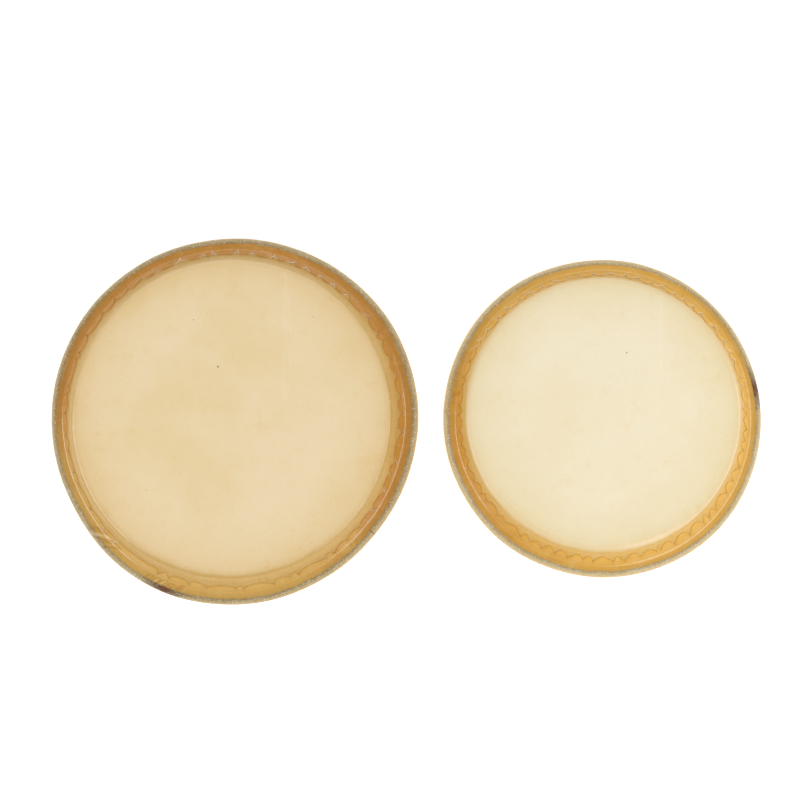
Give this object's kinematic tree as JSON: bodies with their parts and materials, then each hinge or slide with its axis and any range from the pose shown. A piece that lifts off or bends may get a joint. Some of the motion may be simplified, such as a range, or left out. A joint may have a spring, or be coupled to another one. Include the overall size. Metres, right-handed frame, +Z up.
{
  "type": "pair of mounted hand-drum heads",
  "caption": "Two loose rawhide heads, one large and one small, each lapped round a steel flesh hoop, ready to pull down over a hand drum's shell.",
  "frame": {"origin": "on the surface that the hoops rest on, under the middle of the pair's box", "axes": "+X from the large head to the small head, +Y to the back, +Z up through the playing faces"},
  "size_m": [0.4526, 0.234, 0.018],
  "materials": {
    "large_rawhide": "bare translucent rawhide, cream on the flat and amber at the collar",
    "small_rawhide": "bare translucent rawhide, pale cream on the flat and golden at the collar",
    "hoop_steel": "bare drawn steel rod, dull, with a heat-tinted butt weld"
  },
  "bodies": {
    "large_head": {"large_skin": "large_rawhide", "large_flesh_hoop": "hoop_steel"},
    "small_head": {"small_skin": "small_rawhide", "small_flesh_hoop": "hoop_steel"}
  },
  "joints": [
    {"name": "small_head_lift", "type": "slide", "parent": "large_head", "child": "small_head", "axis": [0, 0, 1], "range_m": [0, 0.1]}
  ]
}
